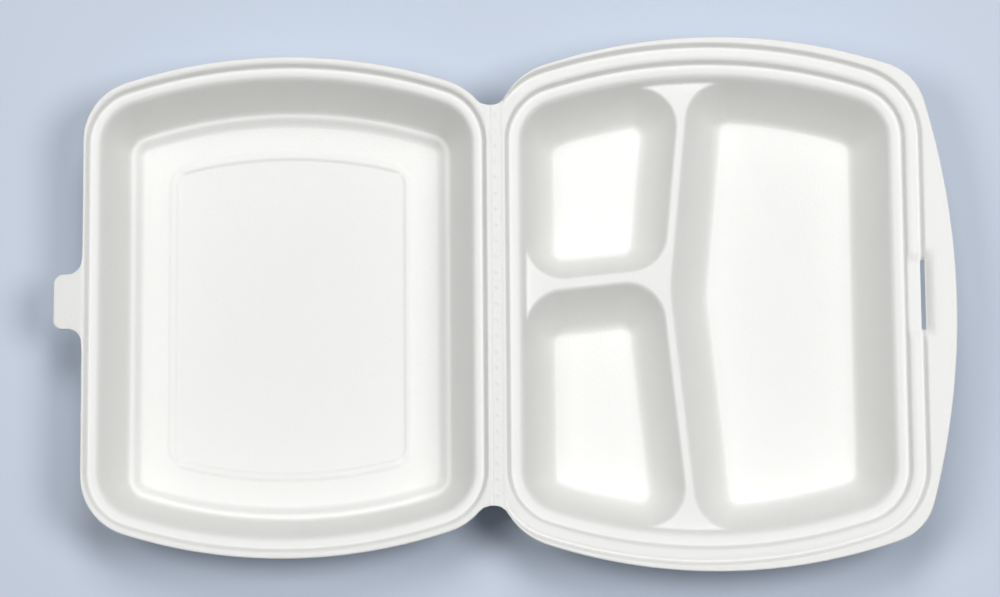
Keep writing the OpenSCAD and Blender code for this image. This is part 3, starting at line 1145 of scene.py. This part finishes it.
@dataclass(frozen=True)
class LidSizes:
    """Sizes of the lid, in millimetres, and the SOFT widths of its creases."""

    SOFT = (3.6, 2.0, 3.0, 2.6, 2.2, 3.0)

    step_run: float = 2.2
    land: float = 3.9
    wall_run: float = 9.8
    shoulder_w: float = 2.8
    shoulder_h: float = 3.0
    shoulder_run: float = 3.2
    rib_inset: float = 14.2
    rib_w: float = 3.6
    rib_h: float = 0.7
    rib_corner_r: float = 8.0
    tab_len: float = 13.5
    tab_w: float = 25.0
    tab_tip_r: float = 4.4
    tab_root_r: float = 7.0
    tab_droop: float = 12.0

    def profile(self, foam: Foam) -> Profile:
        """Height of the inside of the lid across its rim and wall."""
        wall = self.step_run + self.land
        shoulder = wall + self.wall_run
        shoulder_z = foam.thickness + self.shoulder_h
        draft = self.wall_run / (foam.land_z - shoulder_z)
        points = [
            ((self.step_run - foam.riser) / 2, foam.seat_z),
            ((self.step_run + foam.riser) / 2, foam.land_z + foam.land_tilt),
            (wall + draft * foam.land_tilt, foam.land_z - foam.land_tilt),
            (shoulder, shoulder_z),
            (shoulder + self.shoulder_w, shoulder_z),
            (shoulder + self.shoulder_w + self.shoulder_run, foam.thickness),
        ]
        return Profile.through(points, 0.0, self.SOFT)

    @property
    def floor_inset(self) -> float:
        """From the seat outline to the foot of the low wall."""
        return self.step_run + self.land + self.wall_run + self.shoulder_w + self.shoulder_run

    def tab_half(self, along: Array) -> Array:
        """Half the width of the tab at a distance from its root: flared at the root, rounded at the tip."""
        root = np.clip(self.tab_root_r - along, 0, self.tab_root_r)
        flare = self.tab_root_r - np.sqrt(self.tab_root_r**2 - root**2)
        tip = np.clip(along - self.tab_len + self.tab_tip_r, 0, self.tab_tip_r)
        return self.tab_w / 2 + flare - self.tab_tip_r + np.sqrt(self.tab_tip_r**2 - tip**2)


class Lid(FormedHalf):
    """The half with the domed cavity: stepped rim, drafted wall with its shoulder, ribbed floor and lock tab.

    The constants are lengths in millimetres over which creases are rounded or by which places and rings lie apart, and
    shares: where rings lie across the rib, how wide its crown is, and how far it fades in its corners.
    """

    UNDER_SOFT = (1.6, 1.6, 3.0, 2.6, 2.2, 3.0)
    STEP = 2.2
    OUTER_RING = -2.2
    RING_GAP = 3.0
    FLOOR_MARGIN = 1.2
    KEPT_SPAN = 1.1
    FLANGE_RINGS = 1
    RIB_SHARES = np.linspace(-1.5, 1.5, 11)
    RIB_CROWN = 0.4
    RIB_CORNER = 0.35
    CORNER_START = 0.72
    CORNER_END = 0.98
    BEND_LEN = 0.9
    ROOT_LEN = 2.5
    ROOT_MARKS = (0.0, 0.2, 0.5, 1.0)
    TAB_ROWS = (0.0, 0.1, 0.25, 0.45, 0.7, 1.0, 1.5, 2.0, 2.6, 3.2, 4.0, 5.0, 6.0, 7.0, 8.0)
    TIP_DEG = np.arange(0, 91, 10)
    TAB_STEPS = 400

    def __init__(self, foam: Foam, sizes: LidSizes) -> None:
        """Lays out the places around the seat, with the root of the tab among them.

        Args:
            foam: Sizes of the sheet.
            sizes: Sizes of the lid.
        """
        self.sizes = sizes
        self.lip = foam.lip_outline()
        self.notch = Notch.beside_lip(foam)
        plan = SeatRing(foam, [])
        root = float(sizes.tab_half(np.array(0.0)))
        shares = [
            plan.share_at(Stretch.FRONT, np.array([foam.seat_front, foam.latch_y + end * (root - near)]))
            for end in (-1, 1)
            for near in self.ROOT_MARKS
        ]
        ring = SeatRing.marked(foam, {Stretch.FRONT: shares, **self.notch.web_ends(foam, plan)}, self.STEP)
        super().__init__(foam, ring)
        self.root_low = ring.index_of(Stretch.FRONT, min(shares))
        self.root_high = ring.index_of(Stretch.FRONT, max(shares))
        self.free[self.root_low : self.root_high + 1] = 0.0

    def sheet_distance(self, points: Array) -> Array:
        """Signed distance to the lip with its notches."""
        return self.notch.distance(points, self.lip.distance(points))

    def profile(self, under: bool) -> Profile:
        """Height of one face across the rim and wall, with tighter creases outside."""
        top = self.sizes.profile(self.foam)
        return replace(top.backed(self.foam.thickness), soft=self.UNDER_SOFT) if under else top

    def dome_grid(self, parts: MeshParts, under: bool) -> Array:
        """Adds one face of the lid, from the cut edge to the middle of the floor.

        Each ring is the seat outline moved in or out by an inset. Its height is the profile at that inset, and in the
        floor a rib stands on the outline of its own corners.

        Args:
            parts: The mesh to add to.
            under: Whether it is the outer face, which lies below.

        Returns:
            Vertex numbers of the cut edge.
        """
        foam, sizes = self.foam, self.sizes
        profile = self.profile(under)
        floor = 0.0 if under else foam.thickness
        rows = profile.rings(self.OUTER_RING, sizes.floor_inset + self.FLOOR_MARGIN, self.RING_GAP)
        insets, from_edge = self.rim_insets(rows, self.KEPT_SPAN, self.FLANGE_RINGS)
        points = self.base - insets[..., None] * self.way
        drop = self.edge_drop(from_edge, self.free)
        z = profile.height(insets) + (drop if under else -drop)
        half = sizes.rib_w / 2
        middle = sizes.floor_inset + sizes.rib_inset
        rib = np.array([self.ring.places(middle + v, sizes.rib_corner_r - v)[0] for v in half * self.RIB_SHARES])
        rise = sizes.rib_h * (1 - smooth_step(np.abs(self.RIB_SHARES) - self.RIB_CROWN))
        facing = np.max(np.abs(self.way), axis=1)
        straight = smooth_step((facing - self.CORNER_START) / (self.CORNER_END - self.CORNER_START))
        rib_z = floor + rise[:, None] * (self.RIB_CORNER + (1 - self.RIB_CORNER) * straight)
        numbers = parts.add(np.concatenate([lifted(points, z), lifted(rib, rib_z)]))
        parts.skin(ringed(numbers), flip=under)
        parts.cap(numbers[-1], flip=under)
        return numbers[0]

    def tab_grid(self, parts: MeshParts, under: bool) -> Array:
        """Adds one face of the lock tab, which bends down from the lip.

        The middle line turns from level to the droop over the bend's length, and the faces lie square to it. The lower
        face starts at the lower edge of the lip.

        Args:
            parts: The mesh to add to.
            under: Whether it is the lower face.

        Returns:
            Vertex numbers, root first.
        """
        foam, sizes = self.foam, self.sizes
        tip = sizes.tab_len - sizes.tab_tip_r * (1 - np.sin(np.radians(self.TIP_DEG)))
        along = np.concatenate([self.TAB_ROWS, tip])
        y_root = self.base[self.root_low : self.root_high + 1, 1] - foam.latch_y
        share = y_root / sizes.tab_half(np.array(0.0))
        half = sizes.tab_half(along)
        y = foam.latch_y + share * half[:, None]
        fine = np.linspace(0, sizes.tab_len, self.TAB_STEPS)
        lean = np.radians(sizes.tab_droop) * smooth_step(fine / self.BEND_LEN)
        step = fine[1] - fine[0]
        reach = np.concatenate([[0.0], np.cumsum(np.cos(lean[:-1]) * step)])
        fall = np.concatenate([[0.0], np.cumsum(np.sin(lean[:-1]) * step)])
        squeeze = sizes.tab_len * math.cos(math.radians(sizes.tab_droop)) / reach[-1]
        x = np.interp(along, fine, reach) * squeeze
        z = -np.interp(along, fine, fall)
        turn = np.interp(along, fine, lean)
        from_edge = np.minimum((1 - np.abs(share)) * half[:, None], sizes.tab_len - along[:, None])
        near_root = smooth_step(along / foam.edge_r)[:, None]
        sink = self.edge_drop(from_edge, near_root)
        depth = foam.thickness - sink if under else sink
        lip = self.profile(under).height(-self.reach[self.root_low : self.root_high + 1])
        thick = foam.seat_z - lip - (foam.thickness if under else 0.0)
        depth = depth + thick * (1 - smooth_step(along / self.ROOT_LEN))[:, None]
        root_x = foam.seat_front + foam.lip_front
        grid = np.stack(
            [
                root_x + x[:, None] - depth * np.sin(turn)[:, None],
                y,
                foam.seat_z + z[:, None] - depth * np.cos(turn)[:, None],
            ],
            axis=-1,
        )
        numbers = parts.add(grid)
        parts.skin(numbers, flip=not under)
        return numbers

    def build(self, hinge: Vector) -> Object:
        """Makes the piece.

        Args:
            hinge: Point of the hinge axis, in metres.

        Returns:
            The lid.
        """
        parts = MeshParts()
        edges = np.stack([self.dome_grid(parts, under) for under in (False, True)])
        keep = np.ones((1, len(self.base)), bool)
        keep[0, self.root_low : self.root_high] = False
        parts.skin(ringed(edges), flip=True, keep=keep)
        loops = []
        for under in (False, True):
            grid = self.tab_grid(parts, under)
            loops.append(np.concatenate([grid[:-1, 0], grid[-1, :], grid[:-1, -1][::-1]]))
        parts.skin(np.stack(loops), flip=True)
        return parts.build("lid_shell", Half.LID, hinge)


@dataclass(frozen=True)
class HingeWeb:
    """The thin strip between the halves, with its two creases and a row of pressed dots, in millimetres.

    Rows lie at CREASE_SHARES of a crease's depth beside it, and at DOT_ROWS across the dots.
    """

    CREASE_SHARES = np.array([-1.4, -0.9, -0.45, 0.0, 0.45, 0.9, 1.4])
    DOT_ROWS = np.linspace(-1.5, 1.5, 11)
    COLUMNS = 361

    foam: Foam
    tray_notch: Notch
    lid_notch: Notch
    crease_x: float = 2.3
    crease_depth: float = 0.25
    dot_pitch: float = 7.2
    dot_r: float = 1.3
    dot_h: float = 0.45
    dot_offset: float = 0.3

    def half_length(self, x: Array) -> Array:
        """Half the length of the strip at each x: flat in the middle, curved by the notches beside it."""
        across = np.maximum(x - self.tray_notch.centre[0], 0) + np.maximum(-x - self.lid_notch.centre[0], 0)
        notch = self.tray_notch
        return notch.centre[1] - np.sqrt(notch.radius**2 - across**2)

    def build(self, hinge: Vector) -> Object:
        """Makes the piece: a flat strip, lower in a groove at each crease and higher in a round bump at each dot.

        Args:
            hinge: Point of the hinge axis, in metres.

        Returns:
            The strip.
        """
        foam = self.foam
        across = self.crease_depth * self.CREASE_SHARES
        crease = self.crease_x + across
        x = np.unique(np.concatenate([-crease, crease, self.DOT_ROWS, [-foam.web_edge, foam.web_edge]]))[::-1]
        share = np.linspace(-1, 1, self.COLUMNS)
        y = self.half_length(x)[:, None] * share
        groove = self.crease_depth * (1 - smooth_step(np.abs(np.abs(x) - self.crease_x) / across[-1]))
        past = np.mod(y - self.dot_offset + self.dot_pitch / 2, self.dot_pitch) - self.dot_pitch / 2
        reach = np.hypot(past, x[:, None]) / self.dot_r
        top = foam.seat_z - groove[:, None] + self.dot_h * (1 - smooth_step(reach))
        low = np.full_like(top, foam.seat_z - foam.web_thickness)
        plan = [np.repeat(x[:, None], len(share), axis=1), y]
        parts = MeshParts()
        upper = parts.add(np.stack([*plan, top], axis=-1))
        lower = parts.add(np.stack([*plan, low], axis=-1))
        parts.skin(upper)
        parts.skin(lower, flip=True)
        loops = [
            np.concatenate([grid[:0:-1, 0], grid[0, :-1], grid[:-1, -1], grid[-1, :0:-1]])
            for grid in (upper, lower)
        ]
        parts.skin(ringed(np.stack(loops)), flip=True)
        return parts.build("hinge_web", Half.TRAY, hinge)


# Looks


def linear(hex_colour: str) -> tuple[float, float, float, float]:
    """Linear colour, with alpha, of an sRGB hex colour."""
    channels = [int(hex_colour[i : i + 2], 16) / 255 for i in (1, 3, 5)]
    decoded = [c / 12.92 if c <= 0.04045 else ((c + 0.055) / 1.055) ** 2.4 for c in channels]
    return (*decoded, 1.0)


def add_node(tree: NodeTree, kind: str, values: dict[str | int, object], **settings: str) -> Node:
    """Adds a shader node, with its settings and its inputs.

    Args:
        tree: The node tree.
        kind: Type of the node.
        values: Input names or numbers with constants, or with sockets to link from.
        **settings: Settings of the node itself, by name.

    Returns:
        The node.
    """
    node = tree.nodes.new(kind)
    for name, value in settings.items():
        setattr(node, name, value)
    for name, value in values.items():
        if isinstance(value, NodeSocket):
            tree.links.new(value, node.inputs[name])
        else:
            node.inputs[name].default_value = value
    return node


def matt_material(name: str, colour: str, roughness: float) -> tuple[Material, Node]:
    """Makes a plain material.

    Args:
        name: Name of the material.
        colour: Its sRGB hex colour.
        roughness: Roughness of its surface.

    Returns:
        The material and its shader.
    """
    material = bpy.data.materials.new(name)
    material.use_nodes = True
    shader = material.node_tree.nodes["Principled BSDF"]
    shader.inputs["Base Color"].default_value = linear(colour)
    shader.inputs["Roughness"].default_value = roughness
    return material, shader


@dataclass(frozen=True)
class FoamFinish:
    """Skin of foamed polystyrene sheet: white, satin, with fine closed cells and a faint mottle."""

    # Extruded and thermoformed foam has a closed, slightly uneven skin, which softens every highlight. The cells of
    # such sheet are a few tenths of a millimetre wide, and are drawn coarser here so that they show.
    colour: str = "#eaeae8"
    roughness: float = 0.5
    ior: float = 1.59
    cell_mm: float = 1.5
    cell_depth_mm: float = 0.06
    mottle_mm: float = 9.0
    mottle_depth_mm: float = 0.08
    mottle_detail: float = 2.0

    def material(self) -> Material:
        """Makes the material from object coordinates, in metres."""
        material, shader = matt_material("foam_sheet", self.colour, self.roughness)
        tree = material.node_tree
        place = tree.nodes.new("ShaderNodeTexCoord").outputs["Object"]
        cells = add_node(tree, "ShaderNodeTexVoronoi", {"Vector": place, "Scale": 1 / (self.cell_mm * MM)})
        scale = 1 / (self.mottle_mm * MM)
        mottle = add_node(tree, "ShaderNodeTexNoise", {"Vector": place, "Scale": scale, "Detail": self.mottle_detail})
        reliefs = ((cells.outputs["Distance"], self.cell_depth_mm), (mottle.outputs["Fac"], self.mottle_depth_mm))
        below: dict[str, NodeSocket] = {}
        for height, depth in reliefs:
            values = {"Height": height, "Distance": depth * MM, "Strength": 1.0, **below}
            below = {"Normal": add_node(tree, "ShaderNodeBump", values).outputs["Normal"]}
        tree.links.new(below["Normal"], shader.inputs["Normal"])
        shader.inputs["IOR"].default_value = self.ior
        return material


@dataclass(frozen=True)
class Lamp:
    """A round soft lamp: the unit way to it from the object, and its power in watts."""

    name: str
    way: tuple[float, float, float]
    power: float


@dataclass(frozen=True)
class Studio:
    """Plain pale floor, soft lamps overhead, and a camera at the angle of the photograph.

    Lengths are in metres, apart from those of the lens and those with mm in their names. Angles are in degrees.
    """

    floor_colour: str = "#c9d3e2"
    floor_roughness: float = 0.9
    floor_size: float = 40.0
    floor_near: float = 0.45
    floor_far: float = 1.0
    floor_gap_mm: float = 0.2
    aim_mm: tuple[float, float, float] = (-1.94, 2.2, 38.0)
    distance: float = 1.45
    elevation: float = 82.0
    roll: float = -0.45
    lens: float = 116.0
    sensor_width: float = 36.0
    lamps: tuple[Lamp, ...] = (
        Lamp("back", (0.0, 0.45, 0.89), 8.8),
        Lamp("right", (0.45, 0.0, 0.89), 12.1),
        Lamp("left", (-0.45, 0.0, 0.89), 8.4),
    )
    lamp_distance: float = 1.7
    lamp_size: float = 0.7
    world_grey: float = 0.08

    def build(self) -> None:
        """Adds floor, light and camera to the scene."""
        scene = bpy.context.scene
        scene.view_settings.view_transform = "Standard"
        self.add_floor()
        self.add_light()
        self.add_camera()

    def add_floor(self) -> None:
        """Adds the floor under the object."""
        half, low = self.floor_size / 2, -self.floor_gap_mm * MM
        corners = [(-half, -half, low), (half, -half, low), (half, half, low), (-half, half, low)]
        mesh = bpy.data.meshes.new("floor")
        mesh.from_pydata(corners, [], [(0, 1, 2, 3)])
        mesh.materials.append(self.floor_material())
        add_object("floor", mesh)

    def floor_material(self) -> Material:
        """Makes the matt floor: lit by the lamps near the object, and an even pale ground to the eye far from it."""
        material, shader = matt_material("floor", self.floor_colour, self.floor_roughness)
        tree = material.node_tree
        place = tree.nodes.new("ShaderNodeTexCoord").outputs["Object"]
        ball = add_node(tree, "ShaderNodeTexGradient", {"Vector": place}, gradient_type="SPHERICAL")
        away = add_node(
            tree,
            "ShaderNodeMapRange",
            {"Value": ball.outputs["Fac"], "From Min": 1 - self.floor_near, "From Max": 1 - self.floor_far},
            interpolation_type="SMOOTHSTEP",
        )
        ray = tree.nodes.new("ShaderNodeLightPath").outputs
        seen = ray["Is Camera Ray"]
        for other in ("Is Glossy Ray", "Is Transmission Ray"):
            seen = add_node(tree, "ShaderNodeMath", {0: seen, 1: ray[other]}, operation="MAXIMUM").outputs[0]
        share = add_node(tree, "ShaderNodeMath", {0: seen, 1: away.outputs["Result"]}, operation="MULTIPLY")
        ground = add_node(tree, "ShaderNodeEmission", {"Color": linear(self.floor_colour)})
        mix = add_node(
            tree,
            "ShaderNodeMixShader",
            {0: share.outputs[0], 1: shader.outputs["BSDF"], 2: ground.outputs["Emission"]},
        )
        tree.links.new(mix.outputs["Shader"], tree.nodes["Material Output"].inputs["Surface"])
        return material

    def add_light(self) -> None:
        """Adds the soft lamps and the even light of the room."""
        for lamp in self.lamps:
            light = bpy.data.lights.new(lamp.name, "AREA")
            light.shape = "DISK"
            light.size = self.lamp_size
            light.energy = lamp.power
            placed = add_object(lamp.name, light)
            placed.location = Vector(lamp.way) * self.lamp_distance
            placed.rotation_euler = (-Vector(lamp.way)).to_track_quat("-Z", "Y").to_euler()
        world = bpy.data.worlds.new("room")
        world.use_nodes = True
        world.node_tree.nodes["Background"].inputs["Color"].default_value = (*[self.world_grey] * 3, 1.0)
        bpy.context.scene.world = world

    def add_camera(self) -> None:
        """Adds the camera, which looks down from the front with a slight roll."""
        lens = bpy.data.cameras.new("camera")
        lens.lens = self.lens
        lens.sensor_width = self.sensor_width
        lens.clip_end = 2 * self.floor_size
        camera = add_object("camera", lens)
        aim = Vector(self.aim_mm) * MM
        lift = math.radians(self.elevation)
        away = Vector((0.0, -math.cos(lift), math.sin(lift)))
        turn = (-away).to_track_quat("-Z", "Y").to_matrix() @ Matrix.Rotation(math.radians(self.roll), 3, "Z")
        camera.matrix_world = Matrix.Translation(aim + away * self.distance) @ turn.to_4x4()
        bpy.context.scene.camera = camera


def dress(piece: Object, finish: Material) -> Object:
    """Gives a piece its finish and its material slot, and reports it.

    Args:
        piece: The piece.
        finish: Its material.

    Returns:
        The piece.
    """
    piece.data.materials.append(finish)
    log.info("%s: %d faces", piece.name, len(piece.data.polygons))
    return piece


def main() -> None:
    """Builds the container and the studio around it."""
    logging.basicConfig(level=logging.INFO)
    hinge = Vector(frame["joints"][0]["pos_m"])
    foam = Foam()
    finish = FoamFinish().material()
    Studio().build()
    tray = Tray(foam, TrayRim(), Dividers())
    lid = Lid(foam, LidSizes())
    tray_shell = dress(tray.build(hinge), finish)
    lid_shell = dress(lid.build(hinge), finish)
    web = dress(HingeWeb(foam, tray.notch, lid.notch).build(hinge), finish)
    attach(tray_shell, "tray")
    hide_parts("tray")
    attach(lid_shell, "lid")
    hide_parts("lid")
    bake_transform(web)


if __name__ == "__main__":
    main()
